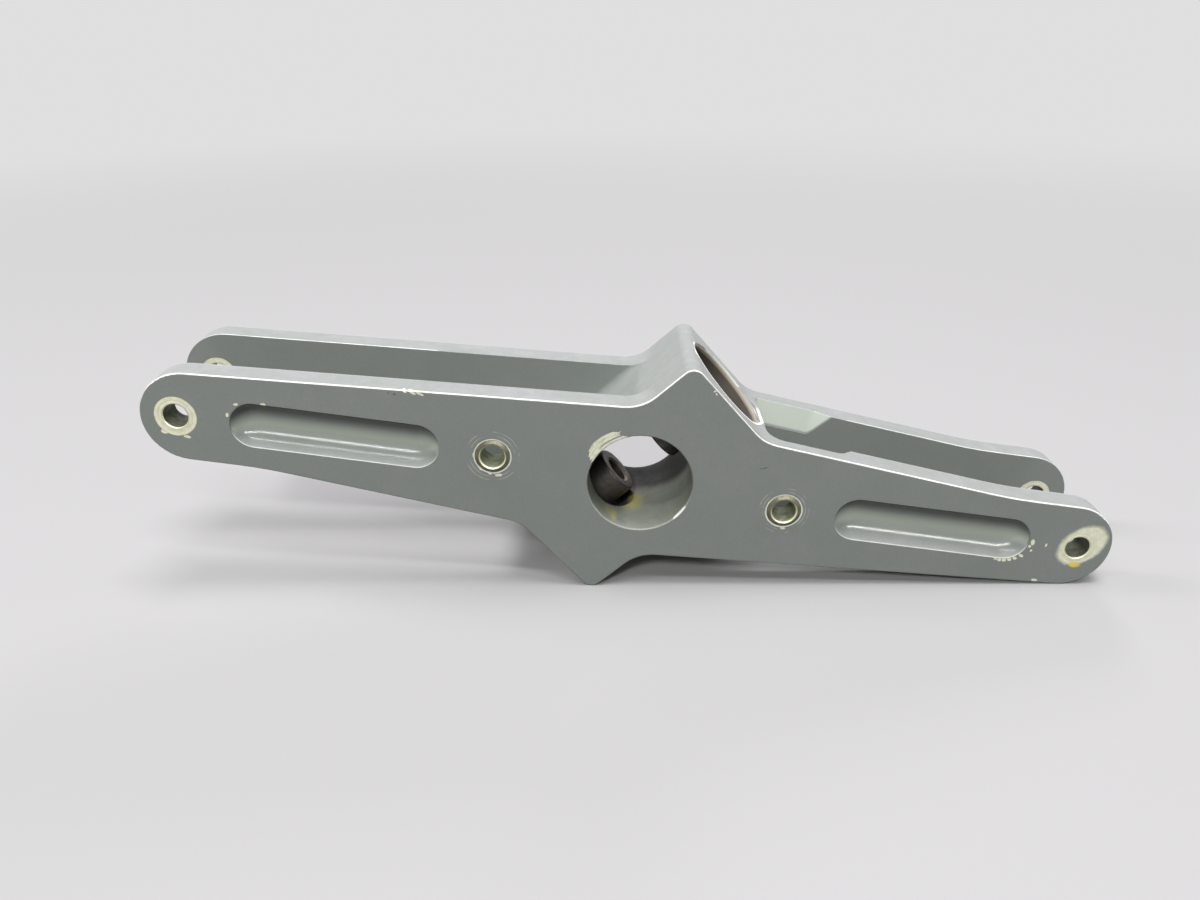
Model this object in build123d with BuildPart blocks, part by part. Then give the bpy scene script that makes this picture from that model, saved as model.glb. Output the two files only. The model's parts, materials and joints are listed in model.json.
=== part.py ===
"""Tail rotor hub: two parallel plates and a slanted bearing block, machined from one billet.

Frame, in millimetres: X to the right along the arms, Y away from the front face along the shaft axis,
Z up. The origin is the centre of the shaft bore, halfway between the front and back faces. The hub
lies on its side as it comes to rest, on the lower corner of the block and the right arm's tip.

The outline is drawn in the hub's own plane, where x runs along the arms. Turned half round about the
shaft axis, it falls on itself. The two arms run parallel, one just above and one just below centre.
"""

import math
import os

from build123d import *

# Plates and block
hub_depth = 47.6
plate_thickness = 9.5
block_half_length = 40.3
block_half_width = 20.4
block_corner_radius = 4.0
teeter_angle = 49.4
edge_break = 0.5
bore_edge_break = 0.3

# Arms, with the right arm below the centre line and the left arm above it
arm_offset = 3.3
tip_centre = 148.6
tip_radius = 15.3
taper_end = 125.0
taper_bend_radius = 160.0
upper_edge_cover = 2.85
lower_root_height = 27.35
waist_fillet = 14.0
slot_corner_radius = 2.7

# Shaft bore
shaft_bore_radius = 17.5

# Blade bolt bushes
inner_bolt_x = 49.6
outer_bolt_x = 152.4
bolt_bore_radius = 3.98
inner_bush_radius = 6.2
outer_bush_radius = 5.5
inner_bush_nose = 5.7
outer_bush_nose = 5.3
inner_bush_proud = 0.65
outer_bush_proud = 0.05
inner_bush_chamfer = 0.6
outer_bush_chamfer = 0.4
bush_crown = 0.15

# Lightening pockets in the outer faces, cut by a ball nose
pocket_start = 67.2
pocket_end = 135.2
pocket_ball_radius = 8.3
pocket_depth = 5.5

# Blade root reliefs on the plates' inner faces, along the edge beside the block
relief_height = 8.9
relief_depth_front = 4.0
relief_depth_back = 2.2
relief_corner_front = 6.0
relief_corner_back = 2.0
relief_run_out_front = 4.0
relief_run_out_back = 7.0
relief_end = 69.8
relief_into_block = 3.8

# Teeter bearings
bearing_radius = 16.7
bearing_shoulder = 20.5
bearing_length = 13.9
bearing_rim_chamfer = 0.9
inlet_radius = 12.4
shell_wall = 1.6
shell_lip = 1.4
ring_recess = 0.8
sleeve_radius = 8.5
sleeve_bore_radius = 4.45
sleeve_start = 9.5
sleeve_proud = 1.2
sleeve_chamfer = 0.8
sleeve_edge = 0.4
sleeve_clearance = 0.05

# Sizes that follow
half_depth = hub_depth / 2
slot_half_gap = half_depth - plate_thickness
reach = tip_centre + tip_radius
teeter = math.radians(teeter_angle)
taper_height = tip_radius - arm_offset

# The block's corner inside the upper edge of the right arm, and that edge passing over it
inner_corner_x = block_half_length * math.cos(teeter) + block_half_width * math.sin(teeter)
inner_corner_y = block_half_length * math.sin(teeter) - block_half_width * math.cos(teeter)
upper_slope = (inner_corner_y + upper_edge_cover - taper_height) / (taper_end - inner_corner_x)
upper_root_height = taper_height + upper_slope * taper_end


def resting_tilt() -> float:
    """Returns the slope, in radians, of the floor under the block's lower corner and the right tip."""
    length = block_half_length - block_corner_radius
    width = block_half_width - block_corner_radius
    corner_x = width * math.sin(teeter) - length * math.cos(teeter)
    corner_y = -width * math.cos(teeter) - length * math.sin(teeter)
    run = tip_centre - corner_x
    rise = -arm_offset - corner_y
    swing = math.asin((tip_radius - block_corner_radius) / math.hypot(run, rise))
    return math.atan2(rise, run) - swing


# The hub's own plane: x along the arms, y across them, z out of the front face
tilt = resting_tilt()
hub = Plane(
    origin=(0, 0, 0),
    x_dir=(math.cos(tilt), 0, -math.sin(tilt)),
    z_dir=(0, -1, 0),
)


def direction(components: tuple) -> Vector:
    """Returns the direction in the model of one given in the hub's own plane."""
    return hub.from_local_coords(Vector(*components)) - hub.origin


def plane_at(origin: tuple, x_dir: tuple, z_dir: tuple) -> Plane:
    """Returns a plane whose origin and directions are given in the hub's own plane."""
    return Plane(
        origin=hub.from_local_coords(Vector(*origin)),
        x_dir=direction(x_dir),
        z_dir=direction(z_dir),
    )


def teeter_section(side: int) -> Plane:
    """Returns a plane through the teeter axis: x runs out along it and y towards the front."""
    along = (side * math.cos(teeter), side * math.sin(teeter), 0)
    across = (side * math.sin(teeter), -side * math.cos(teeter), 0)
    return plane_at((0, 0, 0), along, across)


def tip_touch(height: float) -> tuple[float, float]:
    """Returns where the right arm's lower edge, from that height below the centre, meets its tip."""
    rise = height - arm_offset
    distance = math.hypot(tip_centre, rise)
    bearing = math.atan2(rise, tip_centre) - math.asin(tip_radius / distance)
    touch = math.sqrt(distance**2 - tip_radius**2)
    return (touch * math.cos(bearing), touch * math.sin(bearing) - height)


def is_waist(vertex: Vertex) -> bool:
    """Tells whether an arm's edge meets the block at this corner of the outline."""
    across = vertex.X * math.sin(teeter) - vertex.Y * math.cos(teeter)
    along = vertex.X * math.cos(teeter) + vertex.Y * math.sin(teeter)
    on_side = math.isclose(abs(across), block_half_width, abs_tol=1e-4)
    on_end = math.isclose(abs(along), block_half_length, abs_tol=1e-4)
    return on_side != on_end


def is_block_corner(vertex: Vertex) -> bool:
    """Tells whether two sides of the block meet at this corner of the outline."""
    corner = math.hypot(block_half_length, block_half_width)
    return math.isclose(math.hypot(vertex.X, vertex.Y), corner, abs_tol=1e-4)


# The right arm, from the centre out to its tip
touch_point = tip_touch(lower_root_height)
with BuildSketch() as arm:
    with BuildLine():
        Polyline(
            touch_point,
            (0, -lower_root_height),
            (0, upper_root_height),
            (taper_end, taper_height),
            (tip_centre, taper_height),
        )
        ThreePointArc((tip_centre, taper_height), (reach, -arm_offset), touch_point)
    make_face()
    fillet(arm.vertices().sort_by_distance((taper_end, taper_height))[0], taper_bend_radius)

# Hub body: the outline through the full depth, then what is cut from it
with BuildPart() as hub_body:
    with BuildSketch(hub.offset(-half_depth)) as outline:
        add(arm.sketch)
        add(arm.sketch, rotation=180)
        Rectangle(2 * block_half_length, 2 * block_half_width, rotation=teeter_angle)
        fillet(outline.vertices().filter_by(is_waist), waist_fillet)
        fillet(outline.vertices().filter_by(is_block_corner), block_corner_radius)
    extrude(amount=hub_depth)
    rims = hub_body.edges().filter_by(lambda e: math.isclose(abs(e.center().Y), half_depth, abs_tol=1e-3))
    fillet(rims, edge_break)

    # Slots between the plates, ending on the block's long sides
    for side in (1, -1):
        across = (side * math.sin(teeter), -side * math.cos(teeter), 0)
        along = (math.cos(teeter), math.sin(teeter), 0)
        with BuildSketch(plane_at((0, 0, 0), across, along)) as slot:
            with Locations((block_half_width + reach / 2, 0)):
                Rectangle(reach, 2 * slot_half_gap)
            fillet(slot.vertices().group_by(Axis.X)[0], slot_corner_radius)
        extrude(amount=reach, both=True, mode=Mode.SUBTRACT)

    # Shaft bore
    with BuildSketch(hub.offset(-half_depth)):
        Circle(shaft_bore_radius)
    extrude(amount=hub_depth, mode=Mode.SUBTRACT)
    chamfer(
        hub_body.edges()
        .filter_by(GeomType.CIRCLE)
        .filter_by(lambda e: math.isclose(e.radius, shaft_bore_radius, abs_tol=1e-3)),
        bore_edge_break,
    )

    # Bearing bores, from the block's ends into the shaft bore
    for side in (1, -1):
        section = teeter_section(side)
        with BuildSketch(section):
            with BuildLine():
                Polyline(
                    (0, 0),
                    (0, inlet_radius),
                    (bearing_shoulder, inlet_radius),
                    (bearing_shoulder, bearing_radius),
                    (block_half_length - bearing_rim_chamfer, bearing_radius),
                    (block_half_length, bearing_radius + bearing_rim_chamfer),
                    (block_half_length + bearing_rim_chamfer, bearing_radius + bearing_rim_chamfer),
                    (block_half_length + bearing_rim_chamfer, 0),
                    close=True,
                )
            make_face()
        revolve(axis=Axis(section.origin, section.x_dir), mode=Mode.SUBTRACT)

    # Bolt holes through both plates
    with BuildSketch(hub.offset(-half_depth)):
        for side in (1, -1):
            with Locations((side * inner_bolt_x, -side * arm_offset)):
                Circle(inner_bush_radius)
            with Locations((side * outer_bolt_x, -side * arm_offset)):
                Circle(outer_bush_radius)
    extrude(amount=hub_depth, mode=Mode.SUBTRACT)

    # Pockets with full round ends, on both arms and both outer faces
    pocket_middle = (pocket_start + pocket_end) / 2
    ball_rise = pocket_ball_radius - pocket_depth
    ball_run = pocket_end - pocket_start - 2 * math.sqrt(pocket_ball_radius**2 - ball_rise**2)
    for side in (1, -1):
        for face in (1, -1):
            middle = (side * pocket_middle, -side * arm_offset, face * (half_depth + ball_rise))
            trough = plane_at(middle, (1, 0, 0), (0, 0, 1))
            with BuildSketch(trough):
                SlotCenterToCenter(ball_run, 2 * pocket_ball_radius)
                split(bisect_by=Plane.XZ)
            revolve(axis=Axis(trough.origin, trough.x_dir), mode=Mode.SUBTRACT)

    # Blade root reliefs, deepest at the plate's edge and running out on its inner face
    wall_x = (block_half_width + math.cos(teeter) * upper_root_height) / (
        math.sin(teeter) + math.cos(teeter) * upper_slope
    )
    relief_start = wall_x - relief_into_block
    relief_length = relief_end - relief_start
    for side in (1, -1):
        for face, relief_depth, corner_radius, run_out in (
            (1, relief_depth_front, relief_corner_front, relief_run_out_front),
            (-1, relief_depth_back, relief_corner_back, relief_run_out_back),
        ):
            edge_y = side * (upper_root_height - upper_slope * relief_start)
            along = (side, -side * upper_slope, 0)
            outward = (side * upper_slope, side, 0)
            deepest = -face * (slot_half_gap + relief_depth)
            with BuildSketch(plane_at((side * relief_start, edge_y, 0), along, outward)) as relief:
                with BuildLine():
                    Polyline(
                        (0, 0),
                        (0, deepest),
                        (relief_length - run_out, deepest),
                        (relief_length, -face * slot_half_gap),
                        (relief_length, 0),
                        close=True,
                    )
                make_face()
                fillet(relief.vertices().sort_by_distance((0, deepest))[0], corner_radius)
                fillet(relief.vertices().sort_by_distance((relief_length - run_out, deepest))[0], run_out)
            slant = (outward[0] * relief_height, outward[1] * relief_height, face * relief_depth)
            extrude(amount=relief_height, dir=direction(slant), both=True, mode=Mode.SUBTRACT)

hub_body.part.label = "hub_body"
pieces = [hub_body.part]

# Bushes for the blade bolts, pressed into both plates, with a coned nose on the outer faces
for row, bolt_x, outer_radius, nose_radius, proud, bore_chamfer in (
    ("inner", inner_bolt_x, inner_bush_radius, inner_bush_nose, inner_bush_proud, inner_bush_chamfer),
    ("outer", outer_bolt_x, outer_bush_radius, outer_bush_nose, outer_bush_proud, outer_bush_chamfer),
):
    for face_name, face in (("front", 1), ("back", -1)):
        for side_name, side in (("right", 1), ("left", -1)):
            bolt_axis = plane_at((side * bolt_x, -side * arm_offset, 0), (0, 0, face), (1, 0, 0))
            outer_end = half_depth + proud
            with BuildPart() as bush:
                with BuildSketch(bolt_axis):
                    with BuildLine():
                        Polyline(
                            (slot_half_gap, bolt_bore_radius),
                            (slot_half_gap, outer_radius),
                            (half_depth, outer_radius),
                            (half_depth, nose_radius),
                            (outer_end, bolt_bore_radius + bore_chamfer + bush_crown),
                            (outer_end, bolt_bore_radius + bore_chamfer),
                            (outer_end - bore_chamfer, bolt_bore_radius),
                            close=True,
                        )
                    make_face()
                revolve(axis=Axis(bolt_axis.origin, bolt_axis.x_dir))
            bush.part.label = f"{row}_bush_{face_name}_{side_name}"
            pieces.append(bush.part)

# Teeter bearings: a shell pressed in to the shoulder, a rubber ring and an inner sleeve
shell_bore_radius = bearing_radius - shell_wall
shell_end = bearing_shoulder + bearing_length
lip_end = bearing_shoulder + shell_lip
ring_bore_radius = sleeve_radius + sleeve_clearance
sleeve_end = shell_end + sleeve_proud
for side_name, side in (("upper", 1), ("lower", -1)):
    section = teeter_section(side)
    bearing_axis = Axis(section.origin, section.x_dir)

    with BuildPart() as shell:
        with BuildSketch(section):
            with BuildLine():
                Polyline(
                    (bearing_shoulder, inlet_radius),
                    (bearing_shoulder, bearing_radius),
                    (shell_end, bearing_radius),
                    (shell_end, shell_bore_radius),
                    (lip_end, shell_bore_radius),
                    (lip_end, inlet_radius),
                    close=True,
                )
            make_face()
        revolve(axis=bearing_axis)
    shell.part.label = f"teeter_shell_{side_name}"

    with BuildPart() as ring:
        with BuildSketch(section):
            with BuildLine():
                Polyline(
                    (shell_end - ring_recess, ring_bore_radius),
                    (shell_end - ring_recess, shell_bore_radius),
                    (lip_end, shell_bore_radius),
                    (lip_end, ring_bore_radius),
                    close=True,
                )
            make_face()
        revolve(axis=bearing_axis)
    ring.part.label = f"teeter_elastomer_{side_name}"

    with BuildPart() as sleeve:
        with BuildSketch(section):
            with BuildLine():
                Polyline(
                    (sleeve_start, sleeve_bore_radius + sleeve_chamfer),
                    (sleeve_start, sleeve_radius - sleeve_edge),
                    (sleeve_start + sleeve_edge, sleeve_radius),
                    (sleeve_end - sleeve_edge, sleeve_radius),
                    (sleeve_end, sleeve_radius - sleeve_edge),
                    (sleeve_end, sleeve_bore_radius + sleeve_chamfer),
                    (sleeve_end - sleeve_chamfer, sleeve_bore_radius),
                    (sleeve_start + sleeve_chamfer, sleeve_bore_radius),
                    close=True,
                )
            make_face()
        revolve(axis=bearing_axis)
    sleeve.part.label = f"teeter_sleeve_{side_name}"

    pieces += [shell.part, ring.part, sleeve.part]

os.makedirs("parts", exist_ok=True)
for piece in pieces:
    export_step(piece, f"parts/{piece.label}.step")
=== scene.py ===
"""Dresses the tail rotor hub: worn grey paint, primer rings, bushes and the teeter bearings.

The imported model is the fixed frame. Everything is in metres in its frame: X right along the arms,
Y away from the front face, Z up, with the origin at the centre of the shaft bore. Finishes are laid
out in the hub's own plane instead, in millimetres: x along the arms, y away, z across them.
"""

from __future__ import annotations

import json
import logging
import math
from collections.abc import Callable, Iterable
from dataclasses import dataclass, field
from enum import Enum
from functools import reduce
from typing import Any

import bpy
from mathutils import Matrix, Vector


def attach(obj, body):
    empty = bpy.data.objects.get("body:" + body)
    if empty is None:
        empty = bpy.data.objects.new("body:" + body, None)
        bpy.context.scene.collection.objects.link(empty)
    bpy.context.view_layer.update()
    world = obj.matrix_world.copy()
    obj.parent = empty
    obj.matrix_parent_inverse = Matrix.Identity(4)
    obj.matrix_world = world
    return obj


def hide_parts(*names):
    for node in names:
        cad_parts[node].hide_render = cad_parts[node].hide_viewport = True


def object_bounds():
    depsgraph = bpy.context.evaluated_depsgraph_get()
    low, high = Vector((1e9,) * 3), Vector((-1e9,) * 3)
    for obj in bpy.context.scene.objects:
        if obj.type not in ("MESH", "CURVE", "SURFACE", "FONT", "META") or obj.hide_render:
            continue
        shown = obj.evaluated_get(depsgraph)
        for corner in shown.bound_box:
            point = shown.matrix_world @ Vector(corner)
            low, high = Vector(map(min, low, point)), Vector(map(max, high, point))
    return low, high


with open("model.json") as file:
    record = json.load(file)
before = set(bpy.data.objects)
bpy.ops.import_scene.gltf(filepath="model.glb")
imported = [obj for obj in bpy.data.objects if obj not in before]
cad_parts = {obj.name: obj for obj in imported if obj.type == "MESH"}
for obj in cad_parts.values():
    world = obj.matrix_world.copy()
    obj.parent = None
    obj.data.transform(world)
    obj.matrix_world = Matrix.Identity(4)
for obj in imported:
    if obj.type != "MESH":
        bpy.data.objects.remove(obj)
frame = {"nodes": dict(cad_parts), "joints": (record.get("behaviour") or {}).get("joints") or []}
CAD_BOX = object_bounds()

MM = 0.001
QUARTER_TURN = math.pi / 2
LOG = logging.getLogger("tail_rotor_hub")

# How far the teeter axis leans from the line of the arms
TEETER_SLANT = math.radians(49.4)

# Faces of the two plates, in millimetres along y
OUTER_FACE = 23.8
INNER_FACE = 14.3

# Radii of the bores, in millimetres
SHAFT_BORE = 17.5
BEARING_BORE = 16.7
BEARING_INLET = 12.4
BOLT_BORE = 3.98
SLEEVE_BORE = 4.45

# Places along the teeter axis, in millimetres from the shaft's centre
BEARING_SHOULDER = 20.5
BLOCK_END = 40.3

# How far each arm's holes and pockets lie below the shaft's centre on the right, above on the left
ARM_OFFSET = 3.3

# The stretch of each arm that its pockets take up, with some room, and half their height
POCKET_FROM = 62.0
POCKET_TO = 138.0
POCKET_HALF = 8.3

# Directions across the shaft's axis, and across the z axis of a turned piece
ACROSS_Y = (1.0, 0.0, 1.0)
ACROSS_Z = (1.0, 1.0, 0.0)

Colour = tuple[float, ...]
Layer = tuple[Any, Any]
Socket = bpy.types.NodeSocket


def hub_slope() -> float:
    """Returns the angle, in radians, by which the arms slope down to the right."""
    along = Vector(frame["joints"][0]["axis"])
    return TEETER_SLANT - math.atan2(along.z, along.x)


SLOPE = hub_slope()
TEETER_RISE = TEETER_SLANT - SLOPE


def tint(red: int, green: int, blue: int) -> Colour:
    """Returns a linear colour from its three display values.

    Args:
        red: red, from 0 to 255.
        green: green, from 0 to 255.
        blue: blue, from 0 to 255.

    Returns:
        The colour as Blender's sockets take it, with full alpha.
    """
    steps = [value / 255 for value in (red, green, blue)]
    linear = [v / 12.92 if v <= 0.04045 else ((v + 0.055) / 1.055) ** 2.4 for v in steps]
    return (*linear, 1.0)


class Hole(Enum):
    """The blade bolt holes: how far along the arms and how far across them, in millimetres."""

    INNER_RIGHT = (49.6, -ARM_OFFSET)
    OUTER_RIGHT = (152.4, -ARM_OFFSET)
    INNER_LEFT = (-49.6, ARM_OFFSET)
    OUTER_LEFT = (-152.4, ARM_OFFSET)


class Graph:
    """Adds nodes to one shader tree and joins their sockets."""

    def __init__(self, tree: bpy.types.NodeTree) -> None:
        """Takes the tree to fill, a material's or a group's."""
        self.tree = tree

    def feed(self, socket: Socket, value: Any) -> None:
        """Links a socket to another one, or sets its value.

        Args:
            socket: the input to fill.
            value: an output socket, or a plain value.
        """
        if isinstance(value, Socket):
            self.tree.links.new(value, socket)
        else:
            socket.default_value = value

    def fill(self, node: bpy.types.Node, inputs: dict[str, Any]) -> bpy.types.Node:
        """Feeds a node's inputs.

        Args:
            node: the node.
            inputs: what to feed by the input's name, with _ for a space.

        Returns:
            The same node.
        """
        for name, value in inputs.items():
            self.feed(node.inputs[name.replace("_", " ")], value)
        return node

    def node(self, kind: str, **inputs: Any) -> bpy.types.Node:
        """Adds a node of a kind, named without ShaderNode, and feeds its inputs by name."""
        return self.fill(self.tree.nodes.new(f"ShaderNode{kind}"), inputs)

    def line(self, kind: str, values: Iterable[Any], **settings: Any) -> bpy.types.Node:
        """Adds a node and feeds its inputs in their order.

        Args:
            kind: the node's type, without ShaderNode.
            values: what to feed, in order.
            **settings: the node's settings by name.

        Returns:
            The new node.
        """
        node = self.node(kind)
        for name, setting in settings.items():
            setattr(node, name, setting)
        for socket, value in zip(node.inputs, values):
            self.feed(socket, value)
        return node

    def math(self, operation: str, *values: Any, clamp: bool = False) -> Socket:
        """Returns the result of a Math node, kept between 0 and 1 where it is clamped."""
        return self.line("Math", values, operation=operation, use_clamp=clamp).outputs[0]

    def vector(self, operation: str, *values: Any) -> Socket:
        """Returns the result of a Vector Math node: a value for LENGTH and DOT_PRODUCT, else a vector."""
        outputs = self.line("VectorMath", values, operation=operation).outputs
        return outputs["Value" if operation in ("LENGTH", "DOT_PRODUCT") else "Vector"]

    def times(self, *values: Any) -> Any:
        """Returns the product of some values."""
        return reduce(lambda one, other: self.math("MULTIPLY", one, other), values)

    def greatest(self, masks: Iterable[Any]) -> Any:
        """Returns the greatest of some masks."""
        return reduce(lambda one, other: self.math("MAXIMUM", one, other), masks)

    def rest(self, share: Any) -> Socket:
        """Returns what a share leaves of the whole."""
        return self.math("SUBTRACT", 1.0, share)

    def apart(self, value: Any, other: Any = 0.0) -> Socket:
        """Returns how far a value is from another one, or from zero."""
        return self.math("ABSOLUTE", self.math("SUBTRACT", value, other))

    def scaled(self, value: Any, factor: Any, start: Any) -> Socket:
        """Returns a value times a factor, added to a start."""
        return self.math("MULTIPLY_ADD", value, factor, start)

    def parts(self, place: Any) -> tuple[Socket, ...]:
        """Returns the x, y and z sockets of a vector."""
        return tuple(self.node("SeparateXYZ", Vector=place).outputs)

    def joined(self, x: Any, y: Any, z: Any) -> Socket:
        """Returns the vector of three values."""
        return self.node("CombineXYZ", X=x, Y=y, Z=z).outputs["Vector"]

    def from_axis(self, place: Any, across: tuple[float, ...] = ACROSS_Y) -> Socket:
        """Returns the distance from an axis, given the directions across it."""
        return self.vector("LENGTH", self.vector("MULTIPLY", place, across))

    def fade(self, value: Any, start: Any, end: Any, low: float = 0.0, high: float = 1.0) -> Socket:
        """Adds a smooth step, clamped at both ends.

        Args:
            value: the value to map.
            start: where the result is low.
            end: where the result is high.
            low: the result at the start.
            high: the result at the end.

        Returns:
            The result's socket.
        """
        node = self.node("MapRange", Value=value, From_Min=start, From_Max=end, To_Min=low, To_Max=high)
        node.interpolation_type = "SMOOTHSTEP"
        return node.outputs["Result"]

    def fades(self, *steps: tuple[Any, ...]) -> Any:
        """Returns the product of some smooth steps, each given as for fade."""
        return self.times(*(self.fade(*step) for step in steps))

    def mix(self, share: Any, first: Any, second: Any, kind: str = "RGBA") -> Socket:
        """Adds a mix of two colours or, where the kind is FLOAT, of two values.

        Args:
            share: how much of the second there is.
            first: what there is at 0.
            second: what there is at 1.
            kind: RGBA or FLOAT.

        Returns:
            The result's socket.
        """
        node = self.node("Mix")
        node.data_type = kind
        index, result = (6, 2) if kind == "RGBA" else (2, 0)
        for place, value in ((0, share), (index, first), (index + 1, second)):
            self.feed(node.inputs[place], value)
        return node.outputs[result]

    def shift(self, share: Any, first: Any, second: Any) -> Socket:
        """Returns a mix of two values."""
        return self.mix(share, first, second, "FLOAT")

    def between(self, share: Any, first: Any, second: Any) -> Socket:
        """Returns a mix of two shaders."""
        return self.line("MixShader", (share, first, second)).outputs[0]

    def over(self, colour: Any, layers: Iterable[Layer]) -> Any:
        """Returns a colour under some layers, each a share and a colour."""
        return reduce(lambda under, layer: self.mix(layer[0], under, layer[1]), layers, colour)

    def noise(self, place: Any, scale: Any, detail: float, rough: float) -> Socket:
        """Returns a noise of a scale in features per millimetre, and a detail of a certain strength."""
        return self.node("TexNoise", Vector=place, Scale=scale, Detail=detail, Roughness=rough).outputs["Fac"]

    def group(self, effect: "Effect", **inputs: Any) -> bpy.types.Node:
        """Places a shared effect.

        Args:
            effect: which one.
            **inputs: its inputs by name, with _ for a space.

        Returns:
            The group node.
        """
        node = self.node("Group")
        node.node_tree = EFFECTS[effect]
        return self.fill(node, inputs)

    def mask(self, effect: "Effect", **inputs: Any) -> Socket:
        """Returns the mask of a shared effect."""
        return self.group(effect, **inputs).outputs["Mask"]

    def wobble(self, place: Any, reach: float, grain: float) -> Socket:
        """Returns places moved to and fro, by up to a reach, so that what they draw is ragged."""
        return self.group(Effect.WOBBLE, Place=place, Reach=reach, Grain=grain).outputs["Place"]


class Effect(Enum):
    """The effects that several finishes share."""

    WOBBLE = "ragged_edge"
    CHIP = "paint_chip"
    RING = "scraped_ring"
    PRIMER = "bare_primer"
    FILM = "paint_film"
    TURNED = "turned_marks"
    GRIME = "settled_grime"


EFFECTS: dict[Effect, bpy.types.NodeTree] = {}


class EffectBook:
    """Builds each shared effect once, as a shader node group."""

    def open(self, effect: Effect, inputs: dict[str, str], outputs: dict[str, str]) -> tuple[Graph, Any, Any]:
        """Starts a group.

        Args:
            effect: which effect it is.
            inputs: its inputs by name, each Vector, Float or Color.
            outputs: its outputs by name, likewise.

        Returns:
            The group's graph, its input sockets by name and its output node's sockets by name.
        """
        tree = bpy.data.node_groups.new(effect.value, "ShaderNodeTree")
        for side, sockets in (("INPUT", inputs), ("OUTPUT", outputs)):
            for name, kind in sockets.items():
                tree.interface.new_socket(name=name, in_out=side, socket_type=f"NodeSocket{kind}")
        EFFECTS[effect] = tree
        source = tree.nodes.new("NodeGroupInput")
        target = tree.nodes.new("NodeGroupOutput")
        return Graph(tree), source.outputs, target.inputs

    def build(self) -> None:
        """Builds every effect."""
        for effect in (self.wobble, self.chip, self.ring, self.primer, self.film, self.turned, self.grime):
            effect()
        LOG.info("shared effects: %d", len(EFFECTS))

    def wobble(self) -> None:
        """Moves a place a little to and fro, so that what is drawn with it has a ragged edge."""
        graph, given, result = self.open(
            Effect.WOBBLE, {"Place": "Vector", "Reach": "Float", "Grain": "Float"}, {"Place": "Vector"}
        )
        noise = graph.node("TexNoise", Vector=given["Place"], Scale=given["Grain"], Detail=3.0, Roughness=0.65)
        around = graph.vector("SUBTRACT", noise.outputs["Color"], (0.5, 0.5, 0.5))
        scale = graph.line("VectorMath", (around,), operation="SCALE")
        graph.feed(scale.inputs["Scale"], given["Reach"])
        graph.feed(result["Place"], graph.vector("ADD", given["Place"], scale.outputs["Vector"]))

    def chip(self) -> None:
        """Masks one chip: an oval with a centre, half sizes, a turn about y and a soft or crisp edge."""
        graph, given, result = self.open(
            Effect.CHIP,
            {"Place": "Vector", "Centre": "Vector", "Half Size": "Vector", "Turn": "Float", "Softness": "Float"},
            {"Mask": "Float"},
        )
        turn = graph.node("VectorRotate", Vector=given["Place"], Center=given["Centre"], Angle=given["Turn"])
        turn.rotation_type = "Y_AXIS"
        away = graph.vector("SUBTRACT", turn.outputs["Vector"], given["Centre"])
        far = graph.vector("LENGTH", graph.vector("DIVIDE", away, given["Half Size"]))
        start = graph.math("ADD", 1.0, given["Softness"])
        graph.feed(result["Mask"], graph.fade(far, start, graph.rest(given["Softness"])))

    def ring(self) -> None:
        """Masks a ring about a centre, square to y."""
        graph, given, result = self.open(
            Effect.RING,
            {"Place": "Vector", "Centre": "Vector", "Inner": "Float", "Outer": "Float"},
            {"Mask": "Float"},
        )
        radius = graph.from_axis(graph.vector("SUBTRACT", given["Place"], given["Centre"]))
        past = graph.fade(graph.math("SUBTRACT", radius, given["Inner"]), -0.08, 0.08)
        within = graph.fade(graph.math("SUBTRACT", radius, given["Outer"]), 0.12, -0.12)
        graph.feed(result["Mask"], graph.times(past, within))

    def primer(self) -> None:
        """Gives the cream primer under the paint: its mottled colour and its roughness."""
        graph, given, result = self.open(
            Effect.PRIMER,
            {"Place": "Vector", "Pale": "Color", "Deep": "Color"},
            {"Color": "Color", "Roughness": "Float"},
        )
        patch = graph.fade(graph.noise(given["Place"], 0.55, 3.0, 0.6), 0.35, 0.65)
        speck = graph.fade(graph.noise(given["Place"], 2.6, 2.0, 0.6), 0.30, 0.75)
        share = graph.math("MULTIPLY_ADD", speck, 0.35, graph.times(patch, 0.65), clamp=True)
        graph.feed(result["Color"], graph.mix(share, given["Deep"], given["Pale"]))
        graph.feed(result["Roughness"], graph.fade(speck, 0.0, 1.0, low=0.62, high=0.48))

    def film(self) -> None:
        """Gives the paint film: clouds and specks in its colour, its gloss and its orange peel."""
        graph, given, result = self.open(
            Effect.FILM,
            {"Place": "Vector", "Color": "Color", "Dulled": "Color"},
            {"Color": "Color", "Roughness": "Float", "Height": "Float"},
        )
        cloud = graph.noise(given["Place"], 0.045, 3.0, 0.55)
        rub = graph.noise(given["Place"], 0.22, 3.0, 0.6)
        peel = graph.noise(given["Place"], 0.8, 2.0, 0.5)
        grain = graph.noise(given["Place"], 1.9, 3.0, 0.7)
        dull = graph.math("ADD", graph.fade(cloud, 0.30, 0.70, high=0.60), graph.fade(rub, 0.42, 0.72, high=0.20))
        speck = graph.fade(grain, 0.36, 0.64, low=0.07, high=0.0)
        colour = graph.over(given["Color"], [(dull, given["Dulled"]), (speck, (0.0, 0.0, 0.0, 1.0))])
        rough = graph.fade(rub, 0.35, 0.75, low=0.165, high=0.20)
        graph.feed(result["Color"], colour)
        graph.feed(result["Roughness"], graph.math("ADD", rough, graph.fade(cloud, 0.3, 0.7, high=0.02)))
        graph.feed(result["Height"], graph.scaled(grain, 0.35, peel))

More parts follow.
